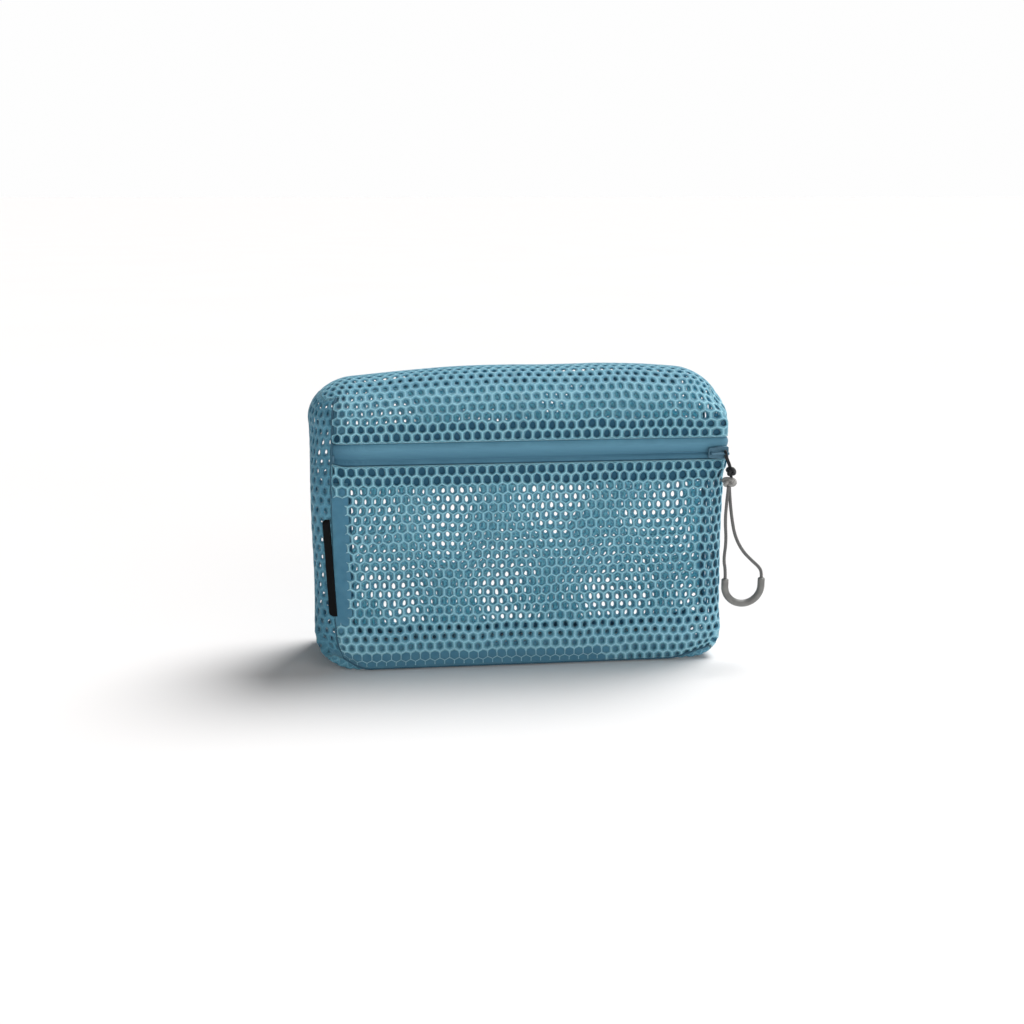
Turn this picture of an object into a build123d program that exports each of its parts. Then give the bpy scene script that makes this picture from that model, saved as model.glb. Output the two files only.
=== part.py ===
"""Net packing cube with a zipped lid and a cord pull.

+X is the cube's right, the front with the zip faces -Y and +Z is up. The origin is the
middle of the flat base. Every soft panel is a thin closed wall on one rounded form.
"""

import os
from math import cos, pi, radians, sin, tan

from build123d import *

# The whole cube, millimetres
WIDTH = 220.0
DEPTH = 58.0
HEIGHT = 158.0
NET = 1.2
SEAM_GAP = 0.3

# Corner radii: seen from above, from the front, and from the side
PLAN_RADIUS = 12.0
PLAN_RADIUS_AT_ZIP_END = 4.0
FRONT_TOP_LEFT = 20.0
FRONT_TOP_RIGHT = 30.0
FRONT_BOTTOM_LEFT = 15.0
FRONT_BOTTOM_RIGHT = 9.0
DOME_RADIUS = 26.0
HEM_RADIUS = 6.0

# Seam lines
SEAM_LEFT = -98.0
SEAM_SIDE = 17.0
BASE_SEAM_Z = 3.5
LID_RIGHT = 97.0
LID_EDGE_Z = 122.6
FRONT_EDGE_Z = 110.8
HINGE_ANGLE = 45.0

# Zip
CHAIN_Z = 114.4
CHAIN_HALF_GAP = 0.5
TAPE = 0.6
TAPE_WIDTH = 11.5
COIL_HEIGHT = 1.4
COIL_WIDTH = 1.5
TAPE_LEFT = -97.4
LID_TAPE_LEFT = -84.8
STOP_LENGTH = 1.4

# Seam bindings
BINDING = 0.8
BINDING_WIDTH = 8.5
BINDING_BOTTOM = 10.3
BINDING_TOP = 102.0

# Side label
LABEL = 0.9
LABEL_WIDTH = 6.5
LABEL_BOTTOM = 31.5
LABEL_TOP = 83.5

# Slider
RUNNING_GAP = 0.4
SLIDER_LEFT = 97.6
SLIDER_LENGTH = 10.8
SLIDER_INNER_LENGTH = 8.0
SLIDER_HALF_WIDTH = 3.3
SLIDER_PLATE = 1.1
SLIDER_FLANGE = 0.6
SLIDER_WEB = 0.4
SLIDER_WEB_LENGTH = 3.4
SLIDER_TAIL_TAPER = 0.7
SLIDER_CORNER = 0.9
SLIDER_EDGE = 0.4
BRIDGE_BAR_RADIUS = 0.6
BRIDGE_REACH = 2.45
BRIDGE_POST = 1.0
BRIDGE_INSET = 0.9

# Pull
PULL_Y = -33.3
LOOP_CORD = 1.2
LOOP_PLAY = 0.25
TAIL_CORD = 1.8
BLACK_KNOT_RADIUS = 2.8
BLACK_KNOT = (109.2, PULL_Y, 105.1)
GREY_KNOT = (108.4, PULL_Y, 99.4)
GREY_KNOT_HALF_WIDTH = 4.1
GREY_KNOT_HALF_HEIGHT = 2.3
GREY_KNOT_HALF_DEPTH = 2.9
TAB_RADIUS = 1.9
TAB_BEND = 9.9
TAB_CENTRE = (118.4, PULL_Y, 42.4)
TAB_ARM = 4.2
TAB_RIM = 0.5

HALF_WIDTH = WIDTH / 2
FRONT_Y = -DEPTH / 2
BACK_Y = DEPTH / 2
FAR = 2 * WIDTH
TAPE_OUTER = NET
TAPE_INNER = NET + TAPE
COIL_INNER = TAPE_INNER + COIL_HEIGHT
BINDING_INNER = NET + BINDING

os.makedirs("parts", exist_ok=True)


def rounded_outline(plane, low, high, radii):
    """A rectangle with its own radius at each corner, in the order of the corners below."""
    corners = [low, (high[0], low[1]), high, (low[0], high[1])]
    with BuildSketch(plane) as outline:
        with BuildLine():
            Polyline(*corners, close=True)
        make_face()
        for corner, radius in zip(corners, radii):
            fillet(outline.vertices().sort_by_distance(Vector(*corner))[0], radius)
    return outline.sketch


def soft_form(inset):
    """The cube's rounded form, moved inwards by inset on every side."""
    half, front, back = HALF_WIDTH - inset, FRONT_Y + inset, BACK_Y - inset
    low, top = inset, HEIGHT - inset
    plan_radii = [radius - inset for radius in
                  (PLAN_RADIUS, PLAN_RADIUS_AT_ZIP_END, PLAN_RADIUS, PLAN_RADIUS)]
    front_radii = [radius - inset for radius in
                   (FRONT_BOTTOM_LEFT, FRONT_BOTTOM_RIGHT, FRONT_TOP_RIGHT, FRONT_TOP_LEFT)]
    side_radii = [radius - inset for radius in
                  (HEM_RADIUS, HEM_RADIUS, DOME_RADIUS, DOME_RADIUS)]
    plan = rounded_outline(Plane.XY.offset(low), (-half, front), (half, back), plan_radii)
    face = rounded_outline(Plane.XZ, (-half, low), (half, top), front_radii)
    side = rounded_outline(Plane.YZ, (front, low), (back, top), side_radii)
    with BuildPart() as form:
        extrude(plan, amount=top - low)
        extrude(face, amount=DEPTH, both=True, mode=Mode.INTERSECT)
        extrude(side, amount=WIDTH, both=True, mode=Mode.INTERSECT)
    return form.part


def layer(outer, inner):
    """The closed wall between two insets of the form."""
    with BuildPart() as wall:
        add(soft_form(outer))
        add(soft_form(inner), mode=Mode.SUBTRACT)
    return wall.part


def block(low, high):
    """A box from its lowest to its highest corner."""
    size = [b - a for a, b in zip(low, high)]
    with BuildPart() as solid:
        with Locations(low):
            Box(*size, align=(Align.MIN, Align.MIN, Align.MIN))
    return solid.part


def dome_point(reach, shift):
    """A point on the hinge seam's plane, reach from the dome's centre and shift along it."""
    angle = radians(HINGE_ANGLE)
    centre_y = BACK_Y - DOME_RADIUS
    centre_z = HEIGHT - DOME_RADIUS
    return (centre_y + reach * cos(angle) - shift * sin(angle),
            centre_z + reach * sin(angle) + shift * cos(angle))


def side_region(points, left, right):
    """A polygon seen from the side, pulled from left to right."""
    with BuildPart() as region:
        with BuildSketch(Plane.YZ.offset(left)):
            with BuildLine():
                Polyline(*points, close=True)
            make_face()
        extrude(amount=right - left)
    return region.part


def save(piece, name):
    """Label one finished piece and write its file."""
    piece.part.label = name
    export_step(piece.part, f"parts/{name}.step")


half_gap = SEAM_GAP / 2
net_wall = layer(0, NET)
tape_wall = layer(TAPE_OUTER, TAPE_INNER)
coil_wall = layer(TAPE_INNER, COIL_INNER)
binding_wall = layer(NET, BINDING_INNER)
hinge_y, hinge_z = dome_point(DOME_RADIUS, 0)

# What lies in front of and above the hinge seam's plane, and what lies behind and below it
lid_outline = [(-DEPTH, LID_EDGE_Z), (0, LID_EDGE_Z), dome_point(0, half_gap),
               dome_point(DEPTH, half_gap), (DEPTH, 2 * HEIGHT), (-DEPTH, 2 * HEIGHT)]
back_outline = [(0, BASE_SEAM_Z), (DEPTH, BASE_SEAM_Z), (DEPTH, HEIGHT), dome_point(DEPTH, -half_gap),
                dome_point(0, -half_gap), (0, LID_EDGE_Z)]

# ---------------------------------------------------------------- net panels
with BuildPart() as bottom_panel:
    add(net_wall)
    add(block((-FAR, -FAR, 0), (FAR, FAR, BASE_SEAM_Z)), mode=Mode.INTERSECT)
save(bottom_panel, "bottom_panel")

with BuildPart() as front_panel:
    add(net_wall)
    add(block((SEAM_LEFT, -FAR, BASE_SEAM_Z), (FAR, -SEAM_SIDE, FRONT_EDGE_Z)), mode=Mode.INTERSECT)
save(front_panel, "front_panel")

with BuildPart() as left_side_panel:
    add(net_wall)
    add(block((-FAR, -FAR, BASE_SEAM_Z), (SEAM_LEFT, FAR, FAR)), mode=Mode.INTERSECT)
save(left_side_panel, "left_side_panel")

with BuildPart() as right_side_panel:
    add(net_wall)
    add(block((LID_RIGHT + SEAM_GAP, -FAR, BASE_SEAM_Z), (FAR, FAR, FAR)), mode=Mode.INTERSECT)
    add(block((0, -FAR, 0), (FAR, -SEAM_SIDE, LID_EDGE_Z)), mode=Mode.SUBTRACT)
    add(block((0, SEAM_SIDE, 0), (FAR, FAR, FAR)), mode=Mode.SUBTRACT)
save(right_side_panel, "right_side_panel")

with BuildPart() as back_region:
    add(side_region(back_outline, SEAM_LEFT, LID_RIGHT + SEAM_GAP))
    add(block((LID_RIGHT + SEAM_GAP, SEAM_SIDE, BASE_SEAM_Z), (FAR, FAR, FAR)))

with BuildPart() as back_panel:
    add(net_wall)
    add(back_region.part, mode=Mode.INTERSECT)
save(back_panel, "back_panel")

with BuildPart() as lid_panel:
    add(net_wall)
    add(side_region(lid_outline, SEAM_LEFT + SEAM_GAP, LID_RIGHT), mode=Mode.INTERSECT)
save(lid_panel, "lid_panel")

# ---------------------------------------------------------------- seam bindings, inside the net
wall_regions = {
    "binding_front_left": block((SEAM_LEFT, -FAR, BINDING_BOTTOM),
                                (SEAM_LEFT + BINDING_WIDTH, 0, BINDING_TOP)),
    "binding_front_right": block((0, -SEAM_SIDE, BINDING_BOTTOM),
                                 (FAR, BINDING_WIDTH - SEAM_SIDE, BINDING_TOP)),
    "binding_back_left": block((SEAM_LEFT, 0, BINDING_BOTTOM),
                               (SEAM_LEFT + BINDING_WIDTH, FAR, BINDING_TOP)),
    "binding_back_right": block((0, SEAM_SIDE - BINDING_WIDTH, BINDING_BOTTOM),
                                (FAR, SEAM_SIDE, BINDING_TOP)),
    "binding_base": block((-FAR, -FAR, BASE_SEAM_Z), (FAR, FAR, BINDING_BOTTOM)),
    "binding_lid_left": block((SEAM_LEFT + SEAM_GAP, -FAR, CHAIN_Z + TAPE_WIDTH + 2),
                              (SEAM_LEFT + BINDING_WIDTH, hinge_y - BINDING_WIDTH, FAR)),
}
for name, region in wall_regions.items():
    with BuildPart() as binding:
        add(binding_wall)
        add(region, mode=Mode.INTERSECT)
    save(binding, name)

binding_reach = [dome_point(0, -half_gap), dome_point(DEPTH, -half_gap),
                 dome_point(DEPTH, -half_gap - BINDING_WIDTH), dome_point(0, -half_gap - BINDING_WIDTH)]
with BuildPart() as binding_hinge:
    add(binding_wall)
    add(side_region(binding_reach, SEAM_LEFT, LID_RIGHT), mode=Mode.INTERSECT)
save(binding_hinge, "binding_hinge")

# ---------------------------------------------------------------- side label
with BuildPart() as side_label:
    add(layer(-LABEL, 0))
    add(block((SEAM_LEFT - LABEL_WIDTH, -FAR, LABEL_BOTTOM), (SEAM_LEFT, 0, LABEL_TOP)),
        mode=Mode.INTERSECT)
save(side_label, "side_label")

# ---------------------------------------------------------------- zip
tape_low = CHAIN_Z - CHAIN_HALF_GAP
tape_high = CHAIN_Z + CHAIN_HALF_GAP
under_lid_edge = LID_EDGE_Z - SEAM_GAP
chain_left = TAPE_LEFT + STOP_LENGTH
chain_end_y = -SEAM_SIDE - 5
lid_tape_end = LID_RIGHT + SEAM_GAP
lid_tape_start = LID_TAPE_LEFT - SEAM_GAP
zip_regions = {
    "zip_tape_lower": (tape_wall, (TAPE_LEFT, -FAR, tape_low - TAPE_WIDTH), (FAR, -SEAM_SIDE, tape_low)),
    "zip_tape_upper": (tape_wall, (LID_TAPE_LEFT, -FAR, tape_high),
                       (LID_RIGHT, -SEAM_SIDE, tape_high + TAPE_WIDTH)),
    "zip_tape_end_left": (tape_wall, (TAPE_LEFT, -FAR, tape_high), (lid_tape_start, 0, under_lid_edge)),
    "zip_tape_end_right": (tape_wall, (lid_tape_end, -FAR, tape_high),
                           (FAR, -SEAM_SIDE, tape_high + TAPE_WIDTH)),
    "zip_coil_lower": (coil_wall, (chain_left, -FAR, tape_low - COIL_WIDTH), (FAR, chain_end_y, tape_low)),
    "zip_coil_upper": (coil_wall, (LID_TAPE_LEFT, -FAR, tape_high), (LID_RIGHT, 0, tape_high + COIL_WIDTH)),
    "zip_coil_end_left": (coil_wall, (chain_left, -FAR, tape_high),
                          (lid_tape_start, 0, tape_high + COIL_WIDTH)),
    "zip_coil_end_right": (coil_wall, (lid_tape_end, -FAR, tape_high),
                           (FAR, chain_end_y, tape_high + COIL_WIDTH)),
    "zip_bottom_stop": (coil_wall, (TAPE_LEFT, -FAR, tape_low - COIL_WIDTH),
                        (chain_left, 0, tape_high + COIL_WIDTH)),
    "zip_top_stop_lower": (coil_wall, (0, chain_end_y, tape_low - COIL_WIDTH),
                           (FAR, chain_end_y + 2 * STOP_LENGTH, tape_low)),
    "zip_top_stop_upper": (coil_wall, (0, chain_end_y, tape_high),
                           (FAR, chain_end_y + 2 * STOP_LENGTH, tape_high + COIL_WIDTH)),
}
for name, (wall, low, high) in zip_regions.items():
    with BuildPart() as zip_piece:
        add(wall)
        add(block(low, high), mode=Mode.INTERSECT)
    save(zip_piece, name)

# ---------------------------------------------------------------- slider
outer_plate_back = FRONT_Y - RUNNING_GAP
outer_plate_front = outer_plate_back - SLIDER_PLATE
inner_plate_front = FRONT_Y + COIL_INNER + RUNNING_GAP
inner_plate_back = inner_plate_front + SLIDER_PLATE
slider_right = SLIDER_LEFT + SLIDER_LENGTH
slider_low = CHAIN_Z - SLIDER_HALF_WIDTH
slider_high = CHAIN_Z + SLIDER_HALF_WIDTH
flange_right = SLIDER_LEFT + SLIDER_INNER_LENGTH
flange_left = SLIDER_LEFT + SLIDER_INNER_LENGTH / 2
flange_depths = [(outer_plate_back, FRONT_Y + NET - RUNNING_GAP),
                 (FRONT_Y + TAPE_INNER + RUNNING_GAP, inner_plate_front)]
web_right = flange_right - SLIDER_FLANGE
web_left = web_right - SLIDER_WEB_LENGTH


def slider_outline(plane, length):
    """One plate seen from the front: a shield that narrows to its tail on the left."""
    middle = SLIDER_LEFT + length / 2
    tail = SLIDER_HALF_WIDTH - SLIDER_TAIL_TAPER
    nose = SLIDER_HALF_WIDTH
    with BuildSketch(plane) as outline:
        with BuildLine():
            Polyline((SLIDER_LEFT, CHAIN_Z - tail), (middle, CHAIN_Z - nose),
                     (SLIDER_LEFT + length, CHAIN_Z - nose), (SLIDER_LEFT + length, CHAIN_Z + nose),
                     (middle, CHAIN_Z + nose), (SLIDER_LEFT, CHAIN_Z + tail), close=True)
        make_face()
        fillet(outline.vertices(), SLIDER_CORNER)
    return outline.sketch


with BuildPart() as slider_body:
    extrude(slider_outline(Plane.XZ.offset(-outer_plate_back), SLIDER_LENGTH), amount=SLIDER_PLATE)
    fillet(slider_body.faces().sort_by(Axis.Y)[0].edges(), SLIDER_EDGE)
    extrude(slider_outline(Plane.XZ.offset(-inner_plate_back), SLIDER_INNER_LENGTH), amount=SLIDER_PLATE)
    add(block((web_left, outer_plate_back, CHAIN_Z - SLIDER_WEB / 2),
              (web_right, inner_plate_front, CHAIN_Z + SLIDER_WEB / 2)))
    for edge in (slider_low, slider_high - SLIDER_FLANGE):
        for front, back in flange_depths:
            add(block((flange_left, front, edge), (flange_right, back, edge + SLIDER_FLANGE)))
save(slider_body, "slider_body")

bar_y = outer_plate_front - BRIDGE_REACH
bridge_left = SLIDER_LEFT + BRIDGE_INSET
bridge_right = slider_right - BRIDGE_INSET / 2
with BuildPart() as slider_bridge:
    with BuildSketch(Plane.YZ.offset(bridge_left)):
        with Locations((bar_y, CHAIN_Z)):
            Circle(BRIDGE_BAR_RADIUS)
    extrude(amount=bridge_right - bridge_left)
    for post_left in (bridge_left, bridge_right - BRIDGE_POST):
        add(block((post_left, bar_y, CHAIN_Z - BRIDGE_BAR_RADIUS),
                  (post_left + BRIDGE_POST, outer_plate_front, CHAIN_Z + BRIDGE_BAR_RADIUS)))
save(slider_bridge, "slider_bridge")

# ---------------------------------------------------------------- cord pull
hook_x = bridge_right - BRIDGE_POST - LOOP_CORD / 2 - LOOP_PLAY
strand = BRIDGE_BAR_RADIUS + LOOP_CORD / 2 + LOOP_PLAY
back_strand = bar_y + strand
front_strand = bar_y - strand
hook_top = CHAIN_Z + strand
loop_route = [
    (109.4, PULL_Y + 0.7, 101.8),
    (109.1, PULL_Y + 0.8, 105.1),
    (108.3, PULL_Y + 1.2, 108.3),
    (107.0, back_strand, 111.2),
    (hook_x, back_strand, 113.6),
    (hook_x, back_strand, hook_top),
    (hook_x, front_strand, hook_top),
    (hook_x + 0.1, front_strand, 113.6),
    (107.2, front_strand, 111.2),
    (108.5, PULL_Y - 1.0, 108.3),
    (109.2, PULL_Y - 0.8, 105.1),
    (109.5, PULL_Y - 0.7, 101.8),
]
left_leg_route = [
    (108.0, PULL_Y - 0.9, 97.4),
    (107.4, PULL_Y - 0.8, 88.5),
    (107.1, PULL_Y - 0.3, 79.0),
    (108.3, PULL_Y, 67.0),
    (107.3, PULL_Y + 0.2, 57.0),
    (108.5, PULL_Y, 51.5),
    (108.5, PULL_Y, 46.6),
]
right_leg_route = [
    (108.9, PULL_Y + 1.0, 97.4),
    (109.6, PULL_Y + 0.9, 89.5),
    (110.9, PULL_Y + 0.5, 79.5),
    (112.8, PULL_Y, 70.0),
    (117.0, PULL_Y - 0.2, 62.0),
    (122.2, PULL_Y - 0.1, 56.6),
    (126.5, PULL_Y, 52.8),
    (128.3, PULL_Y, 49.8),
    (128.3, PULL_Y, 46.6),
]


def cord_tube(name, route, diameter):
    """A cord along a route: each corner's arc is as large as its two runs allow."""
    points = [Vector(*point) for point in route]
    runs = [after - before for before, after in zip(points, points[1:])]
    radii = []
    for before, after in zip(runs, runs[1:]):
        half_turn = radians(before.get_angle(after)) / 2
        radii.append(0.45 * min(before.length, after.length) / tan(half_turn))
    with BuildPart() as tube:
        with BuildLine() as path:
            FilletPolyline(*route, radius=radii)
        with BuildSketch(Plane(origin=points[0], z_dir=runs[0])):
            Circle(diameter / 2)
        sweep(path=path.line)
    length = sum(edge.length for edge in path.edges())
    section = pi * diameter ** 2 / 4
    print(name, "radii", [round(radius, 1) for radius in radii], "length", round(length, 1),
          "volume ratio", round(tube.part.volume / (section * length), 3))
    save(tube, name)


def knot(name, centre, half_width, half_depth, half_height):
    """A stopper knot's outer shape: an ellipse turned about its upright axis, then flattened."""
    with BuildPart() as lump:
        with BuildSketch(Plane.XZ):
            Ellipse(half_width, half_height)
            with Locations((-half_width, 0)):
                Rectangle(2 * half_width, 4 * half_height, mode=Mode.SUBTRACT)
        revolve(axis=Axis.Z)
    with BuildPart() as flattened:
        with Locations(centre):
            add(scale(lump.part, by=(1, half_depth / half_width, 1), mode=Mode.PRIVATE))
    save(flattened, name)


cord_tube("loop_cord", loop_route, LOOP_CORD)
cord_tube("tail_cord_left", left_leg_route, TAIL_CORD)
cord_tube("tail_cord_right", right_leg_route, TAIL_CORD)
knot("black_knot", BLACK_KNOT, BLACK_KNOT_RADIUS, BLACK_KNOT_RADIUS, BLACK_KNOT_RADIUS)
knot("grey_knot", GREY_KNOT, GREY_KNOT_HALF_WIDTH, GREY_KNOT_HALF_DEPTH, GREY_KNOT_HALF_HEIGHT)

tab_x, tab_y, tab_z = TAB_CENTRE
with BuildPart() as u_tab:
    with BuildLine() as tab_path:
        Line((tab_x - TAB_BEND, tab_y, tab_z + TAB_ARM), (tab_x - TAB_BEND, tab_y, tab_z))
        ThreePointArc((tab_x - TAB_BEND, tab_y, tab_z), (tab_x, tab_y, tab_z - TAB_BEND),
                      (tab_x + TAB_BEND, tab_y, tab_z))
        Line((tab_x + TAB_BEND, tab_y, tab_z), (tab_x + TAB_BEND, tab_y, tab_z + TAB_ARM))
    with BuildSketch(Plane(origin=(tab_x - TAB_BEND, tab_y, tab_z + TAB_ARM), z_dir=(0, 0, -1))):
        Circle(TAB_RADIUS)
    sweep(path=tab_path.line)
    fillet(u_tab.faces().group_by(Axis.Z)[-1].edges(), TAB_RIM)
save(u_tab, "u_tab")
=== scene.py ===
"""Net packing cube: the sewn net, zip, bindings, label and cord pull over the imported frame.

Every soft panel is drawn flat, as it is cut, and then laid on one rounded form. Lengths are
in metres, in the frame of the CAD model: +X right, the zip faces -Y, +Z up.
"""

import bmesh
import bpy
import numpy as np
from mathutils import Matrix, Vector


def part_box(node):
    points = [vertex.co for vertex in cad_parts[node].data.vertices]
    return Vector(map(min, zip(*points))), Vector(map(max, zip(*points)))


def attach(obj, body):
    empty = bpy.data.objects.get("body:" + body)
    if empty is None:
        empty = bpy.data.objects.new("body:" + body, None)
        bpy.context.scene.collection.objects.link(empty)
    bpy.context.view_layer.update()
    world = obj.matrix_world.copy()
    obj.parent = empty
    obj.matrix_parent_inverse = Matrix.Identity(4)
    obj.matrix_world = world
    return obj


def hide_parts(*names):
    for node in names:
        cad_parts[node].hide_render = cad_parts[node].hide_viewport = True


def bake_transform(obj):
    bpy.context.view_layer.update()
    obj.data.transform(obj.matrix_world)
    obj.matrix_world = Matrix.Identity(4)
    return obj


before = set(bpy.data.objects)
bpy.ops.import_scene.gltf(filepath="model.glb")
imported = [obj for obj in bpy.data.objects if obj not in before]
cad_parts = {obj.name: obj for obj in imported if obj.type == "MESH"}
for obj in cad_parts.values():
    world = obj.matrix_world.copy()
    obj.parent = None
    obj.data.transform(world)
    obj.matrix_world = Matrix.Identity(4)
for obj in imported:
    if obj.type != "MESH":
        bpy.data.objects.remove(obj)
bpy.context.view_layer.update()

# The form's box
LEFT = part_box("left_side_panel")[0].x
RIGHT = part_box("right_side_panel")[1].x
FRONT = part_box("front_panel")[0].y
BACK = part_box("back_panel")[1].y
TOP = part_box("lid_panel")[1].z
LOW = np.array([LEFT, FRONT, 0.0])
HIGH = np.array([RIGHT, BACK, TOP])
DEPTH = BACK - FRONT
SPAN = RIGHT - LEFT

# Corner radii of the form
PLAN_RADIUS = 0.012
ZIP_CORNER_RADIUS = 0.005
FRONT_TOP_LEFT = 0.023
FRONT_TOP_RIGHT = 0.023
FRONT_BOTTOM_LEFT = 0.023
FRONT_BOTTOM_RIGHT = 0.017
DOME_RADIUS = 0.026
HEM_RADIUS = 0.003

# Seam lines: the upright ones as x on the front, running on round the right end and the back
SEAM_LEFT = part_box("front_panel")[0].x
SEAM_SIDE = 0.017
SEAM_FRONT_RIGHT = RIGHT + (-SEAM_SIDE - FRONT)
SEAM_BACK_RIGHT = RIGHT + (SEAM_SIDE - FRONT)
SEAM_BACK_LEFT = RIGHT + DEPTH + (RIGHT - SEAM_LEFT)
FRONT_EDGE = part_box("front_panel")[1].z
LID_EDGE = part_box("lid_panel")[0].z

# How far the soft panels bow out, pull in and sink
FRONT_SWELL = 0.0010
BACK_SWELL = 0.0015
END_HOLLOW = 0.0008
END_HOLLOW_MIDDLE = 0.0013
DROOP_LEFT = 0.0070
DROOP_RIGHT = 0.0050

# The knitted net, flat: holes in staggered rows
PITCH = 0.00515
ROW = 0.00500
NET_PULL = 0.0010
STRAND_LIFT = 0.00058
NET_DEPTH = 0.0006
HOLE_WIDTH = 0.0029
HOLE_HEIGHT = 0.0041
HEM = 0.0010
FIRST_ROW = 0.0031
HOLE_SHIFT = 0.00011
HUB_LIFT = STRAND_LIFT * 0.62
SMALLEST_HOLE = 0.12
MERGE_STEP = 2e-6

# Zip
CHAIN = 0.1144
TAPE_BELOW = 0.0148
TAPE_ABOVE = 0.0186
TAPE_THICKNESS = 0.0006
TAPE_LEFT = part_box("zip_tape_lower")[0].x
TAPE_FRONT = -NET_DEPTH * 2.0 - 0.0001
TAPE_STEP = 0.0015
LOWER_TAPE_SHOWN = 0.0036
LOWER_TAPE_FULLNESS = 0.0005
UPPER_TAPE_SHOWN = 0.0083
UPPER_TAPE_FULLNESS = 0.0014
TEETH_PITCH = 0.0012
TEETH_APART = 0.00135
TEETH_REACH = 0.00085
TEETH_DEPTH = -0.0026
TEETH_HALF_DEPTH = 0.00042
FILAMENT = 0.00017

# Bindings and seams, by their depth under the form
RIBBON_WIDTH = 0.0085
RIBBON_THICKNESS = 0.0007
RIBBON_FACE = -0.0013
RIBBON_LOW = 0.004
RIBBON_HIGH = 0.102
LID_RIBBON_LOW = 0.1279
ACROSS_STEP = 0.001
ALONG_STEP = 0.002
SEAM_DEPTH = -0.0006
SEAM_RADIUS = 0.0006
HINGE_SEAM_DEPTH = -0.0007
HINGE_SEAM_RADIUS = 0.0011
BASE_SEAM_DEPTH = -0.0004
BASE_SEAM_DEPTH_LEFT = -0.0016
BASE_SEAM_RADIUS = 0.0007
BASE_SPAN = (-SPAN / 2 - DEPTH - SPAN, SPAN / 2)
HINGE_RIGHT = 0.097

# Label
LABEL_LOW = 0.0315
LABEL_HIGH = 0.0835
LABEL_WIDTH = 0.0042
LABEL_THICKNESS = 0.0006

# Cord pull
PULL_Y = -0.0333
LOOP_CORD = 0.0012
TAIL_CORD = 0.0018
LOOP_ROUTE = [
    (0.1094, -0.0326, 0.1018),
    (0.1091, -0.0325, 0.1051),
    (0.1083, -0.0321, 0.1083),
    (0.1070, -0.0315, 0.1112),
    (0.1061, -0.0315, 0.1136),
    (0.1061, -0.0315, 0.11585),
    (0.1061, -0.0344, 0.11585),
    (0.1062, -0.0344, 0.1136),
    (0.1072, -0.0344, 0.1112),
    (0.1085, -0.0343, 0.1083),
    (0.1092, -0.0341, 0.1051),
    (0.1095, -0.0340, 0.1018),
]
LEFT_LEG_ROUTE = [
    (0.1080, -0.0342, 0.0974),
    (0.1074, -0.0341, 0.0885),
    (0.1071, -0.0336, 0.0790),
    (0.1083, -0.0333, 0.0670),
    (0.1073, -0.0331, 0.0570),
    (0.1085, -0.0333, 0.0515),
    (0.1085, -0.0333, 0.0466),
]
RIGHT_LEG_ROUTE = [
    (0.1089, -0.0323, 0.0974),
    (0.1096, -0.0324, 0.0895),
    (0.1109, -0.0328, 0.0795),
    (0.1128, -0.0333, 0.0700),
    (0.1170, -0.0335, 0.0620),
    (0.1222, -0.0334, 0.0566),
    (0.1265, -0.0333, 0.0528),
    (0.1283, -0.0333, 0.0498),
    (0.1283, -0.0333, 0.0466),
]
BLACK_KNOT = (0.1092, PULL_Y, 0.1051)
BLACK_KNOT_REACH = (0.0028, 0.0028, 0.0028)
BLACK_STRAND = 0.0010
GREY_KNOT = (0.1084, PULL_Y, 0.0994)
GREY_KNOT_REACH = (0.0042, 0.0032, 0.0030)
GREY_STRAND = 0.00115
CORD_STEP = 0.00015
TAB_RADIUS = 0.0019
TAB_BEND = 0.0099
TAB_CENTRE = (0.1184, PULL_Y, 0.0424)
TAB_ARM = 0.0042


# ------------------------------------------------------------------ the rounded form
def ramp(value, start, end):
    """0 before start, 1 after end, smooth between."""
    t = np.clip((value - start) / (end - start), 0.0, 1.0)
    return t * t * (3.0 - 2.0 * t)


def mix(a, b, share):
    """From a to b."""
    return a + (b - a) * share


def corner_radii(points):
    """How far the form is rounded at points of its sharp box, along each axis."""
    x, y, z = points.T
    right = ramp(x, -0.030, 0.030)
    left_end = 1.0 - ramp(x, -0.100, -0.080)
    right_end = ramp(x, 0.080, 0.100)
    top = ramp(z, 0.095, 0.135)
    base = 1.0 - ramp(z, 0.003, 0.035)
    top_x = mix(FRONT_TOP_LEFT, FRONT_TOP_RIGHT, right)
    base_x = mix(FRONT_BOTTOM_LEFT, FRONT_BOTTOM_RIGHT, right)
    radius_x = PLAN_RADIUS + top * (top_x - PLAN_RADIUS) + base * (base_x - PLAN_RADIUS)
    radius_y = PLAN_RADIUS + top * (DOME_RADIUS - PLAN_RADIUS) + base * (HEM_RADIUS - PLAN_RADIUS)
    top_z = DOME_RADIUS + left_end * (FRONT_TOP_LEFT - DOME_RADIUS)
    top_z = top_z + right_end * (FRONT_TOP_RIGHT - DOME_RADIUS)
    base_z = HEM_RADIUS + left_end * (FRONT_BOTTOM_LEFT - HEM_RADIUS)
    base_z = base_z + right_end * (FRONT_BOTTOM_RIGHT - HEM_RADIUS)
    radius_z = np.where(z > TOP / 2, top_z, base_z)
    zip_band = ramp(z, 0.100, 0.108) * (1.0 - ramp(z, 0.130, 0.150))
    tight = right * (1.0 - ramp(y, -0.012, 0.012)) * zip_band
    radius_x = mix(radius_x, ZIP_CORNER_RADIUS, tight)
    radius_y = mix(radius_y, ZIP_CORNER_RADIUS, tight)
    return np.column_stack([radius_x, radius_y, radius_z])


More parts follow.
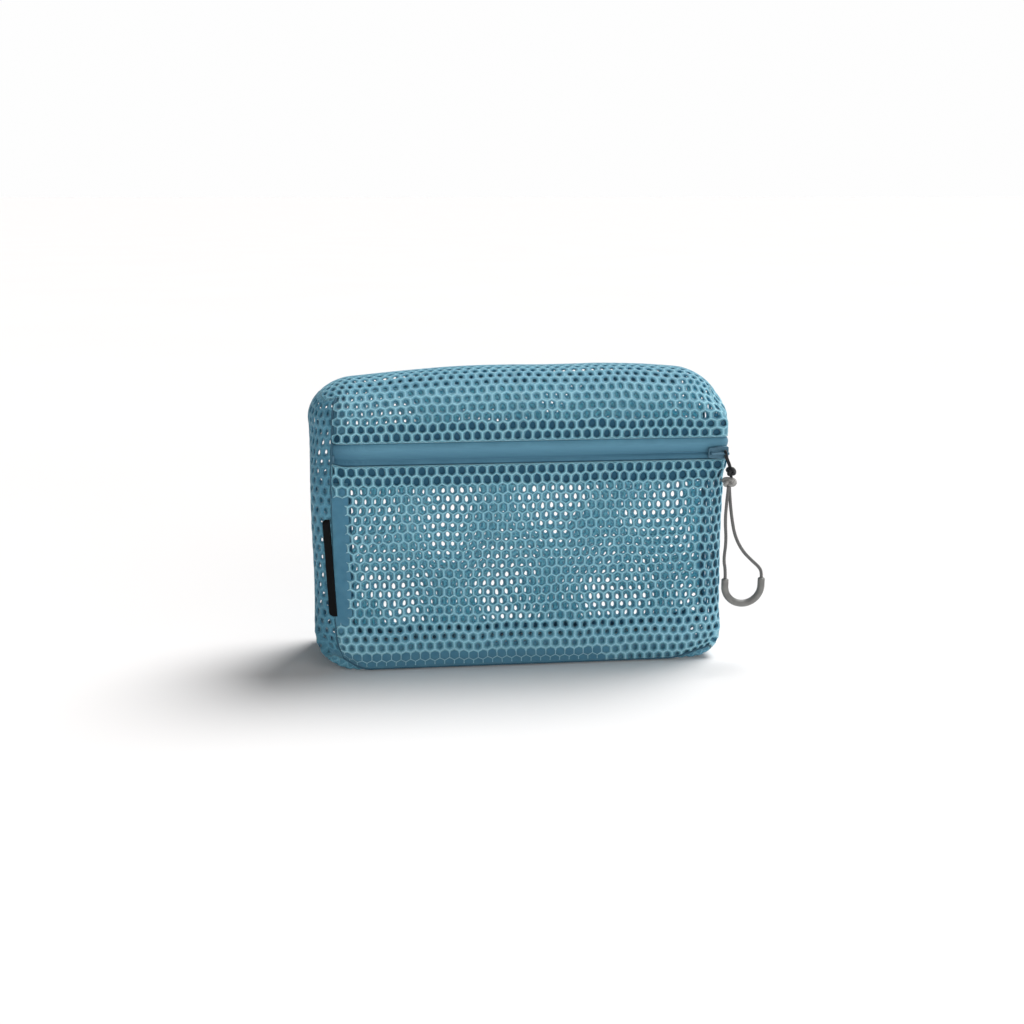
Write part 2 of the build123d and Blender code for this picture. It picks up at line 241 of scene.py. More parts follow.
def swell(points, normals):
    """How far the soft panels bow out of the form and pull in along their seams."""
    x, y, z = points.T
    along = np.clip(1.0 - (x / RIGHT) ** 2, 0.0, 1.0)
    below_zip = np.clip(1.0 - ((z - 0.055) / 0.055) ** 2, 0.0, 1.0)
    across = np.clip(1.0 - (y / BACK) ** 2, 0.0, 1.0)
    upright = np.clip(1.0 - ((z - 0.075) / 0.075) ** 2, 0.0, 1.0)
    front = np.clip(-normals[:, 1], 0.0, 1.0) * along * below_zip * FRONT_SWELL
    back = np.clip(normals[:, 1], 0.0, 1.0) * along * upright * BACK_SWELL
    ends = -np.abs(normals[:, 0]) * upright * mix(END_HOLLOW, END_HOLLOW_MIDDLE, across)
    wave = 0.0003 * np.sin(x * 61.0 + z * 23.0) + 0.0002 * np.sin(x * 37.0 - z * 97.0 + 1.0)
    calm = np.clip(-normals[:, 1], 0.0, 1.0) * ramp(z, 0.095, 0.104) * (1.0 - ramp(z, 0.124, 0.132))
    flat_base = ramp(z, 0.0, 0.012)
    return front + back + ends + wave * (1.0 - calm) * flat_base


def droop(laid):
    """How far the top sinks towards its ends, where nothing holds it up."""
    x, z = laid[:, 0], laid[:, 2]
    left = DROOP_LEFT * np.clip(-x / 0.105, 0.0, 1.1) ** 1.5
    right = DROOP_RIGHT * np.clip((x - 0.040) / 0.070, 0.0, 1.1) ** 1.5
    return (left + right) * ramp(z, 0.118, 0.162)


def skin(points, height):
    """Points of the sharp box laid on the soft form, and lifted off it by height."""
    radii = corner_radii(points)
    core = np.clip(points, LOW + radii, HIGH - radii)
    reach = (points - core) / radii
    size = np.linalg.norm(reach, axis=1, keepdims=True)
    normals = reach / size / radii
    normals /= np.linalg.norm(normals, axis=1, keepdims=True)
    laid = core + (points - core) / size
    lift = np.broadcast_to(height, len(points)) + swell(laid, normals)
    lifted = laid + normals * lift[:, None]
    lifted[:, 2] -= droop(laid)
    return lifted


def wall(s, z):
    """Box points on the upright walls: s is x on the front and runs on round both ends."""
    s = np.asarray(s, float)
    x = np.clip(s, LEFT, RIGHT)
    right_back = RIGHT + DEPTH
    left_back = LEFT - DEPTH
    x = np.where(s > right_back, RIGHT - (s - right_back), x)
    x = np.where(s < left_back, LEFT + (left_back - s), x)
    y = FRONT + np.clip(np.maximum(s - RIGHT, LEFT - s), 0.0, DEPTH)
    return np.column_stack([x, y, np.broadcast_to(z, s.shape)])


def roof(x, w):
    """Box points over the top: w is z on the front, and runs on over the top and down the back."""
    w = np.asarray(w, float)
    far_edge = TOP + DEPTH
    z = np.where(w > far_edge, TOP - (w - far_edge), np.minimum(w, TOP))
    y = FRONT + np.clip(w - TOP, 0.0, DEPTH)
    return np.column_stack([np.broadcast_to(x, w.shape), y, z])


def underside(x, y):
    """Box points on the base."""
    return np.column_stack([x, y, np.zeros(len(x))])


class Rail:
    """Arc length along the form, beside the box coordinate that follows it."""

    def __init__(self, start, end, probe, steps=500):
        self.flat = np.linspace(start, end, steps)
        laid = skin(probe(self.flat), 0.0)
        walked = np.linalg.norm(np.diff(laid, axis=0), axis=1)
        self.walked = np.concatenate([[0.0], np.cumsum(walked)])
        self.length = self.walked[-1]

    def box(self, walked):
        """The box coordinate at an arc length."""
        return np.interp(walked, self.walked, self.flat)

    def at(self, flat):
        """The arc length at a box coordinate."""
        return float(np.interp(flat, self.flat, self.walked))


# ------------------------------------------------------------------ meshes
def new_piece(name, points, faces, material, cloth):
    """A mesh object, with its flat cloth coordinates and painted shade as an attribute for the materials.
    """
    mesh = bpy.data.meshes.new(name)
    mesh.from_pydata(np.asarray(points, float).tolist(), [], faces)
    mesh.validate()
    mesh.polygons.foreach_set("use_smooth", [True] * len(mesh.polygons))
    attribute = mesh.attributes.new("cloth", "FLOAT_VECTOR", "POINT")
    attribute.data.foreach_set("vector", np.asarray(cloth, np.float32).ravel())
    mesh.materials.append(material)
    piece = bpy.data.objects.new(name, mesh)
    bpy.context.scene.collection.objects.link(piece)
    return piece


def ripple(u, v, seed):
    """A smooth uneven pull of the cloth, as two offsets."""
    random = np.random.default_rng(seed)
    offsets = []
    for _ in range(2):
        total = np.zeros_like(u)
        for _ in range(5):
            length = random.uniform(0.018, 0.060)
            angle = random.uniform(0.0, np.pi)
            phase = random.uniform(0.0, 2.0 * np.pi)
            total += np.sin(2.0 * np.pi * (u * np.cos(angle) + v * np.sin(angle)) / length + phase)
        offsets.append(total / 5.0)
    return offsets


def cell_outline():
    """Twelve points round one cell: its corners and the middles of its sides."""
    side = PITCH / 2
    low = (ROW ** 2 - side ** 2) / (2 * ROW)
    high = ROW - low
    corners = [(side, -low), (side, low), (0, high), (-side, low), (-side, -low), (0, -high)]
    points = []
    for corner, after in zip(corners, corners[1:] + corners[:1]):
        points.append(corner)
        points.append(((corner[0] + after[0]) / 2, (corner[1] + after[1]) / 2))
    return np.array(points)


def hole_outline():
    """Twelve points round one hole: straight sides, a pointed top and a flatter foot."""
    cell = cell_outline()
    angles = np.arctan2(cell[:, 1], cell[:, 0])
    oval = np.column_stack([np.cos(angles), np.sin(angles)])
    hexagon = cell / np.abs(cell).max(axis=0)
    shape = mix(oval, hexagon, 0.45)
    shape[:, 0] *= 1.0 - 0.28 * np.clip(shape[:, 1], 0.0, 1.0)
    shape[:, 1] = np.where(shape[:, 1] < 0.0, shape[:, 1] * 0.94, shape[:, 1])
    return shape * np.array([HOLE_WIDTH, HOLE_HEIGHT]) / 2


def areas(outlines):
    """The area inside each outline."""
    after = np.roll(outlines, -1, axis=1)
    twice = outlines[:, :, 0] * after[:, :, 1] - after[:, :, 0] * outlines[:, :, 1]
    return 0.5 * np.abs(twice.sum(axis=1))


def pull_cloth(points, size, seed):
    """Pull the flat cloth unevenly, but not at the panel's edges."""
    u, v = points[..., 0], points[..., 1]
    pull_u, pull_v = ripple(u, v, seed)
    inside = np.minimum(np.minimum(u, size[0] - u), np.minimum(v, size[1] - v))
    free = ramp(inside, 0.0, 0.010) * NET_PULL
    return np.stack([u + pull_u * free, v + pull_v * free], axis=-1)


def net_cells(size, seed, first_row, openness):
    """The net's cells over a flat panel: their centres, outlines and holes."""
    rows = np.arange(-1, int(size[1] / ROW) + 3)
    columns = np.arange(-1, int(size[0] / PITCH) + 3)
    row, column = np.meshgrid(rows, columns, indexing="ij")
    centres = np.column_stack([
        ((column + 0.5 * (row % 2)) * PITCH).ravel(),
        (first_row + row * ROW).ravel(),
    ])
    reach = np.array([PITCH / 2, ROW * 0.62])
    centres = centres[((centres > -reach) & (centres < size + reach)).all(axis=1)]
    random = np.random.default_rng(seed)
    count = len(centres)
    shift = random.normal(0.0, HOLE_SHIFT, (count, 1, 2))
    scale = random.normal(1.0, 0.07, (count, 1, 2)) * openness(centres)[:, None]
    turn = random.normal(0.0, 0.06, (count, 1))
    hole = hole_outline()[None] * scale
    across, along = hole[:, :, 0], hole[:, :, 1]
    turned = np.stack([across - along * turn, along + across * turn], axis=2)
    outlines = pull_cloth(centres[:, None] + cell_outline()[None], size, seed + 50)
    holes = pull_cloth(centres[:, None] + turned + shift, size, seed + 50)
    return centres, outlines, holes


def net_rings(outlines, holes, is_open, on_edge):
    """The rings of points round each hole, from the strand's crest in: place, height and painted shade.
    """
    crest = np.where(on_edge, 0.0, STRAND_LIFT)
    even = np.ones_like(crest)
    rim = np.where(is_open[:, None], 0.0, HUB_LIFT) * even
    rim_shade = np.where(is_open[:, None], 0.0, 0.5) * even
    # Painted shade: 1 on the crest as a painted highlight, falling down the flanks to 0 at the hole's
    # rim; shut holes get a middle value.
    return [
        (outlines, crest, even),
        (mix(outlines, holes, 0.30), STRAND_LIFT * 0.80 * even, 0.66 * even),
        (mix(outlines, holes, 0.68), STRAND_LIFT * 0.50 * even, 0.36 * even),
        (holes, rim, rim_shade),
    ]


def net_quads(cells, is_open):
    """Faces between the rings on both faces of the cloth, and over the holes that are shut."""
    rings = 4
    index = np.arange(2 * rings * cells * 12).reshape(2, rings, cells, 12)
    hubs = index.size + np.arange(2 * cells).reshape(2, cells)
    quads = []
    for side in (0, 1):
        for inner in range(rings - 1):
            a, b = index[side, inner], index[side, inner + 1]
            quads.append(facing(side, a, np.roll(a, -1, axis=1), np.roll(b, -1, axis=1), b))
        rim = index[side, -1][~is_open]
        hub = np.repeat(hubs[side][~is_open][:, None], 12, axis=1)
        quads.append(facing(side, rim, np.roll(rim, -1, axis=1), hub, hub))
    return np.concatenate(quads)


def facing(side, *corners):
    """Quads from four arrays of corners, turned over on the cloth's inner face."""
    if side == 1:
        corners = corners[::-1]
    return np.stack([corner.ravel() for corner in corners], axis=1)


def clean_faces(quads, labels):
    """Faces over merged points, without the ones that have closed up."""
    merged = labels[quads]
    faces = []
    for face in merged.tolist():
        kept = []
        for corner in face:
            if corner not in kept:
                kept.append(corner)
        if len(kept) > 2:
            faces.append(kept)
    return faces


def drop_loose(mesh):
    """Remove points that no face uses."""
    work = bmesh.new()
    work.from_mesh(mesh)
    loose = [point for point in work.verts if not point.link_faces]
    bmesh.ops.delete(work, geom=loose, context="VERTS")
    work.to_mesh(mesh)
    work.free()


def evenly(across, along):
    """Holes of one size all over a panel, as shares of the full width and height."""
    return lambda centres: np.tile([across, along], (len(centres), 1))


def painted_light_all_over(factor):
    """Painted light all over a panel, by one factor: above 1 the yarn is painted paler, below 1 painted
    darker as shade.
    """
    return lambda flat: np.full(len(flat), factor)


def cut_to_panel(cells, size, keep, notch):
    """The cells inside a panel, clipped to its edges, and which of their points lie on one."""
    centres = cells[0]
    low = np.zeros_like(centres)
    high = np.tile(size, (len(centres), 1))
    if notch is not None:
        low, high = notch(centres, low, high)
    inside = (high > low).all(axis=1)
    if keep is not None:
        inside &= keep(centres)
    centres, outlines, holes, low, high = (part[inside] for part in (*cells, low, high))
    outlines = np.clip(outlines, low[:, None], high[:, None])
    holes = np.clip(holes, low[:, None] + HEM, high[:, None] - HEM)
    centres = np.clip(centres, low + HEM, high - HEM)
    gap = np.minimum(np.abs(outlines - low[:, None]), np.abs(outlines - high[:, None]))
    return centres, outlines, holes, (gap < 1e-7).any(axis=2)


def shut_small_holes(centres, outlines, holes):
    """Knit shut the holes that are too small, and say which stay open."""
    whole = areas(hole_outline()[None])[0]
    is_open = areas(holes) > SMALLEST_HOLE * whole
    shut = mix(outlines, centres[:, None], 0.75)
    return np.where(is_open[:, None, None], holes, shut), is_open


def net_points(rings, centres):
    """Flat place, height and painted shade of all points: both faces' rings, then both faces' hubs."""
    flat, lift, shade = [], [], []
    for side in (1.0, -1.0):
        for place, height, tone in rings:
            flat.append(place.reshape(-1, 2))
            lift.append(side * height.ravel())
            shade.append(tone.ravel())
    for side in (1.0, -1.0):
        flat.append(centres)
        lift.append(np.full(len(centres), side * HUB_LIFT))
        shade.append(np.full(len(centres), 0.5))
    return np.concatenate(flat), np.concatenate(lift), np.concatenate(shade)


def net_piece(name, rails, chart, seed, openness, first_row=FIRST_ROW, keep=None, notch=None,
              painted_light_and_shade=painted_light_all_over(1.0)):
    """A net panel: a strand between every two holes, closed edges, laid on the form."""
    size = np.array([rails[0].length, rails[1].length])
    cells = net_cells(size, seed, first_row, openness)
    centres, outlines, holes, on_edge = cut_to_panel(cells, size, keep, notch)
    holes, is_open = shut_small_holes(centres, outlines, holes)
    flat, lift, shade = net_points(net_rings(outlines, holes, is_open, on_edge), centres)
    keys = np.round(np.column_stack([flat, lift]) / MERGE_STEP).astype(np.int64)
    _, first, labels = np.unique(keys, axis=0, return_index=True, return_inverse=True)
    faces = clean_faces(net_quads(len(centres), is_open), labels.ravel())
    flat, lift, shade = flat[first], lift[first], shade[first]
    box_points = chart(rails[0].box(flat[:, 0]), rails[1].box(flat[:, 1]))
    points = skin(box_points, lift - NET_DEPTH)
    # The strands' painted shade, times the panel's own painted light and shade, goes into the cloth
    # attribute as colour.
    piece = new_piece(name, points, faces, NET, np.column_stack([flat, shade * painted_light_and_shade(flat)]))
    drop_loose(piece.data)
    return piece


def slab(name, chart, u_line, v_line, outer, thickness, material, shade=None):
    """A closed strip of cloth over a grid of box coordinates."""
    grid_u, grid_v = np.meshgrid(u_line, v_line, indexing="ij")
    rows, columns = grid_u.shape
    u, v = grid_u.ravel(), grid_v.ravel()
    height = outer(u, v) if callable(outer) else np.full(u.size, outer)
    box_points = chart(u, v)
    points = np.concatenate([skin(box_points, height), skin(box_points, height - thickness)])
    index = np.arange(rows * columns).reshape(rows, columns)
    under = index + rows * columns
    faces = []
    for i in range(rows - 1):
        for j in range(columns - 1):
            faces.append([index[i, j], index[i, j + 1], index[i + 1, j + 1], index[i + 1, j]])
            faces.append([under[i, j], under[i + 1, j], under[i + 1, j + 1], under[i, j + 1]])
    for i in range(rows - 1):
        faces.append([index[i, 0], index[i + 1, 0], under[i + 1, 0], under[i, 0]])
        faces.append([index[i + 1, -1], index[i, -1], under[i, -1], under[i + 1, -1]])
    for j in range(columns - 1):
        faces.append([index[0, j + 1], index[0, j], under[0, j], under[0, j + 1]])
        faces.append([index[-1, j], index[-1, j + 1], under[-1, j + 1], under[-1, j]])
    # The third cloth value is the painted shade, where a shade is given, and 1 elsewhere.
    tone = shade(u, v) if shade is not None else np.ones(u.size)
    cloth = np.column_stack([u, v, tone])
    faces = np.array(faces).tolist()
    piece = new_piece(name, points, faces, material, np.concatenate([cloth, cloth]))
    piece.data.set_sharp_from_angle(angle=np.radians(50.0))
    return piece


def frames_along(path, closed):
    """Two directions across a path at each of its points, carried along without twisting."""
    if closed:
        tangents = np.roll(path, -1, axis=0) - np.roll(path, 1, axis=0)
    else:
        tangents = np.gradient(path, axis=0)
    tangents /= np.linalg.norm(tangents, axis=1, keepdims=True)
    side = np.cross(tangents[0], [0.0, 1.0, 0.0])
    if np.linalg.norm(side) < 0.2:
        side = np.cross(tangents[0], [1.0, 0.0, 0.0])
    sides = []
    for tangent in tangents:
        side = side - tangent * np.dot(side, tangent)
        side = side / np.linalg.norm(side)
        sides.append(side)
    sides = np.array(sides)
    return sides, np.cross(tangents, sides)


def tube(name, path, radius, material, around=16, closed=False, braid=0.0, braid_pitch=0.0018,
         taper=None):
    """A round cord or filament along a path, with a woven relief where braid is above 0."""
    path = np.asarray(path, float)
    sides, ups = frames_along(path, closed)
    steps = np.linalg.norm(np.diff(path, axis=0), axis=1)
    walked = np.concatenate([[0.0], np.cumsum(steps)])
    angles = np.linspace(0.0, 2.0 * np.pi, around, endpoint=False)
    girth = np.full((len(path), around), radius)
    if taper is not None:
        girth = girth * taper(walked / walked[-1])[:, None]
    if braid:
        turn = 2.0 * np.pi * walked[:, None] / braid_pitch
        weave = np.cos(4.0 * angles[None] + turn) * np.cos(4.0 * angles[None] - turn)
        girth = girth * (1.0 - braid + braid * weave)
    rings = path[:, None] + girth[..., None] * (
        np.cos(angles)[None, :, None] * sides[:, None] + np.sin(angles)[None, :, None] * ups[:, None])
    points = rings.reshape(-1, 3)
    cloth = np.stack(np.broadcast_arrays(angles[None] * radius, walked[:, None], 1.0), axis=2)
    index = np.arange(len(path) * around).reshape(len(path), around)
    after = np.roll(index, -1, axis=0) if closed else index[1:]
    before = index if closed else index[:-1]
    quads = np.stack([before, np.roll(before, -1, axis=1), np.roll(after, -1, axis=1), after], axis=2)
    faces = quads.reshape(-1, 4).tolist()
    if not closed:
        faces.append(index[0][::-1].tolist())
        faces.append(index[-1].tolist())
    return new_piece(name, points, faces, material, cloth.reshape(-1, 3))


# ------------------------------------------------------------------ materials
def linear(red, green, blue):
    """A colour as the screen shows it, from 0 to 255, in the shader's own units."""
    values = np.array([red, green, blue]) / 255.0
    low = values / 12.92
    high = ((values + 0.055) / 1.055) ** 2.4
    return (*np.where(values <= 0.04045, low, high).tolist(), 1.0)


class Shading:
    """A material's node tree, with the few nodes that the cloths share."""

    def __init__(self, name):
        self.material = bpy.data.materials.new(name)
        self.material.use_nodes = True
        self.nodes = self.material.node_tree.nodes
        self.links = self.material.node_tree.links
        self.shader = self.nodes["Principled BSDF"]

    def set(self, **values):
        """Set the shader's own sockets."""
        for name, value in values.items():
            self.shader.inputs[name.replace("_", " ")].default_value = value

    def link(self, source, target):
        self.links.new(source, target)

    def scaled(self, vector, scale):
        """Coordinates times one number."""
        mapping = self.nodes.new("ShaderNodeMapping")
        mapping.inputs["Scale"].default_value = [scale] * 3
        self.link(vector, mapping.inputs["Vector"])
        return mapping.outputs["Vector"]

    def attribute(self):
        """The piece's flat cloth coordinates, with its painted shade as the third."""
        attribute = self.nodes.new("ShaderNodeAttribute")
        attribute.attribute_name = "cloth"
        return attribute.outputs["Vector"]

    def cloth(self):
        """The piece's flat cloth coordinates in millimetres."""
        return self.scaled(self.attribute(), 1000.0)

    def tone(self):
        """The painted light and shade of the cloth at each point: 1 on a crest as a painted highlight, 0
        in a fold as painted shade.
        """
        split = self.nodes.new("ShaderNodeSeparateXYZ")
        self.link(self.attribute(), split.inputs["Vector"])
        return split.outputs["Z"]

    def place(self, scale=1000.0):
        """The object's own coordinates, in millimetres unless scaled."""
        place = self.nodes.new("ShaderNodeTexCoord")
        return self.scaled(place.outputs["Object"], scale)

    def noise(self, vector, scale, detail=3.0):
        """A cloudy pattern."""
        texture = self.nodes.new("ShaderNodeTexNoise")
        texture.inputs["Scale"].default_value = scale
        texture.inputs["Detail"].default_value = detail
        self.link(vector, texture.inputs["Vector"])
        return texture.outputs["Fac"]

    def wave(self, vector, scale, direction, distortion=0.0):
        """Even ribs."""
        texture = self.nodes.new("ShaderNodeTexWave")
        texture.bands_direction = direction
        texture.inputs["Scale"].default_value = scale
        texture.inputs["Distortion"].default_value = distortion
        self.link(vector, texture.inputs["Vector"])
        return texture.outputs["Fac"]

    def combine(self, operation, first, second):
        """Two patterns, or a pattern and a number, put together."""
        math = self.nodes.new("ShaderNodeMath")
        math.operation = operation
        for socket, value in zip(math.inputs, (first, second)):
            if isinstance(value, (int, float)):
                socket.default_value = value
            else:
                self.link(value, socket)
        return math.outputs[0]

    def total(self, *parts):
        """Patterns added together, each times its own share."""
        weighed = [self.combine("MULTIPLY", pattern, share) for pattern, share in parts]
        result = weighed[0]
        for part in weighed[1:]:
            result = self.combine("ADD", result, part)
        return result

    def weave(self, vector, along, across, distortion):
        """Ribs both ways, as in a plain weave."""
        ribs = self.wave(vector, along, "Y", distortion)
        return self.combine("MULTIPLY", ribs, self.wave(vector, across, "X", distortion))

    def paint(self, pattern, *stops):
        """Colour the shader by a pattern: stops are (place, colour)."""
        ramp_node = self.nodes.new("ShaderNodeValToRGB")
        elements = ramp_node.color_ramp.elements
        while len(elements) < len(stops):
            elements.new(0.5)
        for element, (place, colour) in zip(elements, stops):
            element.position = place
            element.color = colour
        self.link(pattern, ramp_node.inputs["Fac"])
        self.link(ramp_node.outputs["Color"], self.shader.inputs["Base Color"])

    def bump(self, pattern, distance):
        """Fine relief, in metres."""
        bump = self.nodes.new("ShaderNodeBump")
        bump.inputs["Strength"].default_value = 1.0
        bump.inputs["Distance"].default_value = distance
        self.link(pattern, bump.inputs["Height"])
        self.link(bump.outputs["Normal"], self.shader.inputs["Normal"])

    def rough(self, pattern, low, high):
        """Roughness that varies with a pattern."""
        span = self.nodes.new("ShaderNodeMapRange")
        span.inputs["To Min"].default_value = low
        span.inputs["To Max"].default_value = high
        self.link(pattern, span.inputs["Value"])
        self.link(span.outputs["Result"], self.shader.inputs["Roughness"])


YARN_GLOW = {
    "Subsurface_Weight": 0.75,
    "Subsurface_Scale": 0.0022,
    "Subsurface_Radius": (1.0, 1.2, 1.3),
}


def net_material():
    """Knitted polyester with fine loops of yarn: pale crests as painted highlights, darker flanks as
    painted shade.
    """
    shading = Shading("net_knit")
    shading.set(Roughness=0.6, Sheen_Weight=0.15, Sheen_Roughness=0.4, Specular_IOR_Level=0.3)
    shading.set(**YARN_GLOW)
    vector = shading.place()
    yarn = shading.noise(vector, 1.6, 4.0)
    patch = shading.noise(vector, 0.05, 2.0)
    # Most of the colour comes from the painted shade: palest where it paints highlights on the crests,
    # darkest where it paints shade by the holes.
    shade = shading.total((shading.tone(), 0.62), (yarn, 0.34), (patch, 0.14))
    shading.paint(shade, (0.15, linear(40, 97, 122)), (0.50, linear(92, 151, 173)),
                  (0.95, linear(168, 219, 235)))
    loops = shading.wave(vector, 0.9, "DIAGONAL", 2.0)
    relief = shading.combine("ADD", yarn, shading.combine("MULTIPLY", loops, 0.5))
    shading.bump(relief, 0.00016)
    return shading.material


def tape_material():
    """Woven zip tape: fine ribs along it and a faint cross weave, coloured mostly by its painted light
    and shade.
    """
    shading = Shading("zip_tape_weave")
    shading.set(Sheen_Weight=0.2, Sheen_Roughness=0.4, Specular_IOR_Level=0.3)
    vector = shading.cloth()
    weave = shading.weave(vector, 0.42, 0.60, 0.4)
    cloud = shading.noise(vector, 0.12, 4.0)
    pattern = shading.total((weave, 0.35), (cloud, 0.65))
    # Two thirds of the colour comes from the tape's painted light and shade.
    shade = shading.total((pattern, 0.35), (shading.tone(), 0.65))
    shading.paint(shade, (0.15, linear(22, 82, 110)), (0.50, linear(72, 122, 146)),
                  (0.85, linear(104, 160, 184)))
    shading.rough(cloud, 0.55, 0.75)
    shading.bump(weave, 0.00012)
    return shading.material


def binding_material():
    """Woven ribbon over the seams: a plain tight weave."""
    shading = Shading("binding_ribbon")
    shading.set(Sheen_Weight=0.15, Sheen_Roughness=0.5, Specular_IOR_Level=0.3)
    shading.set(**YARN_GLOW)
    vector = shading.cloth()
    weave = shading.weave(vector, 0.55, 0.55, 0.3)
    cloud = shading.noise(vector, 0.2, 3.0)
    shade = shading.total((weave, 0.4), (cloud, 0.6))
    shading.paint(shade, (0.15, linear(66, 122, 150)), (0.85, linear(96, 154, 178)))
    shading.rough(cloud, 0.6, 0.8)
    shading.bump(weave, 0.00014)
    return shading.material


def thread_material(name, dark, pale, roughness):
    """Zip filament, or the turned-in edge of a seam."""
    shading = Shading(name)
    shading.set(Roughness=roughness, Specular_IOR_Level=0.4)
    vector = shading.place()
    strands = shading.noise(vector, 3.0, 2.0)
    shading.paint(strands, (0.3, dark), (0.7, pale))
    shading.bump(strands, 0.00004)
    return shading.material


def braid_material(name, dark, pale, roughness, sheen):
    """Braided cord: crossing yarns over the tube's own relief."""
    shading = Shading(name)
    shading.set(Sheen_Weight=sheen, Sheen_Roughness=0.4, Specular_IOR_Level=0.4)
    vector = shading.cloth()
    strands = shading.wave(vector, 0.9, "DIAGONAL", 0.6)
    fuzz = shading.noise(vector, 2.0, 3.0)
    shade = shading.total((strands, 0.5), (fuzz, 0.5))
    shading.paint(shade, (0.2, dark), (0.8, pale))
    shading.rough(fuzz, roughness, roughness + 0.2)
    shading.bump(shade, 0.00008)
    return shading.material


def plastic_material():
    """Matte moulded grey plastic."""
    shading = Shading("matte_grey_plastic")
    shading.set(Specular_IOR_Level=0.4)
    vector = shading.place()
    grain = shading.noise(vector, 2.5, 4.0)
    cloud = shading.noise(vector, 0.2, 2.0)
    shading.paint(cloud, (0.3, linear(112, 112, 110)), (0.7, linear(134, 134, 131)))
    shading.rough(cloud, 0.35, 0.5)
    shading.bump(grain, 0.00003)
    return shading.material


def label_material():
    """Black woven label."""
    shading = Shading("black_label_weave")
    shading.set(Sheen_Weight=0.0, Specular_IOR_Level=0.15)
    vector = shading.cloth()
    weave = shading.weave(vector, 0.8, 0.8, 0.2)
    shading.paint(weave, (0.1, linear(2, 3, 5)), (0.9, linear(9, 10, 13)))
    shading.rough(weave, 0.6, 0.8)
    shading.bump(weave, 0.0001)
    return shading.material


def lacquer_material():
    """Painted metal, lightly worn."""
    shading = Shading("slider_lacquer")
    shading.set(Metallic=0.2)
    vector = shading.place()
    wear = shading.noise(vector, 0.8, 5.0)
    shading.paint(wear, (0.3, linear(58, 98, 118)), (0.75, linear(76, 120, 142)))
    shading.rough(wear, 0.35, 0.5)
    shading.bump(wear, 0.00003)
    return shading.material


def floor_material():
    """Plain pale studio paper."""
    shading = Shading("studio_paper")
    shading.set(Roughness=0.9, Specular_IOR_Level=0.1)
    vector = shading.place(1.0)
    grain = shading.noise(vector, 3.0, 2.0)
    shading.paint(grain, (0.3, (0.87, 0.855, 0.85, 1)), (0.7, (0.88, 0.865, 0.86, 1)))
    return shading.material


NET = net_material()
TAPE = tape_material()
BINDING = binding_material()
LABEL = label_material()
COIL = thread_material("coil_filament", linear(70, 114, 134), linear(96, 144, 166), 0.4)
# Painted shade: the seams' turned-in edges are coloured darker than the binding and the net, as the shade
# in each seam's groove.
SEAM_PAINTED_SHADE = thread_material("seam_edge_painted_shade", linear(44, 84, 104), linear(64, 106, 126), 0.8)
BLACK_CORD = braid_material("black_braid", linear(14, 15, 18), linear(34, 36, 40), 0.4, 0.1)
GREY_CORD = braid_material("grey_braid", linear(72, 72, 72), linear(130, 130, 129), 0.55, 0.1)
# Painted light: the knot is tied in the same grey cord as the tails, but painted much paler for its lit
# face.
GREY_KNOT_LIT_CORD = braid_material("grey_knot_braid_painted_light", linear(84, 83, 82), linear(190, 188, 184), 0.5, 0.1)
PLASTIC = plastic_material()
PAINT = lacquer_material()


# ------------------------------------------------------------------ putting pieces on bodies
def mark(nodes):
    """Hide the CAD nodes that a piece stands for."""
    if nodes:
        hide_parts(*nodes)


def bag(piece, slot, *nodes):
    """A piece that rides on the bag."""
    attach(piece, "bag")
    mark(nodes)


def lid_left(piece, slot, *nodes):
    """A piece of the lid's left half, with its place baked into its mesh."""
    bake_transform(piece)
    mark(nodes)


def lid_right(piece, slot, *nodes):
    """A piece of the lid's right half, with its place baked into its mesh."""
    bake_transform(piece)
    mark(nodes)


def grid_line(start, end, step):
    """Evenly spaced values from start to end, about step apart."""
    return np.linspace(start, end, max(2, int(abs(end - start) / step) + 1))


# ------------------------------------------------------------------ net panels
PROBE_HEIGHT = 0.06


def wall_rail(start, end):
    """A rail round the walls, measured at one height."""
    return Rail(start, end, lambda s: wall(s, np.full(len(s), PROBE_HEIGHT)))


def upright_rail(end, s):
    """A rail up a wall from the floor, at one place along it."""
    return Rail(0.0, end, lambda z: wall(np.full(len(z), s), z))


def front_cloth(s, z):
    """The front panel, whose top edge curves up where the zip ends on the left."""
    rise = 0.0014 * (1.0 - ramp(s, SEAM_LEFT, -0.0905)) * ramp(z, 0.095, FRONT_EDGE)
    return wall(s, z + rise)


def make_front_net():
    rails = (wall_rail(SEAM_LEFT, SEAM_FRONT_RIGHT), upright_rail(FRONT_EDGE, 0.0))
    first = (rails[1].length - HEM - HOLE_HEIGHT / 2) % ROW - ROW

    def openness(centres):
        share = 0.58 + 0.49 * ramp(centres[:, 1], 0.014, 0.040)
        return np.column_stack([share, share])

    bag(net_piece("front_net", rails, front_cloth, 11, openness, first), "net", "front_panel")


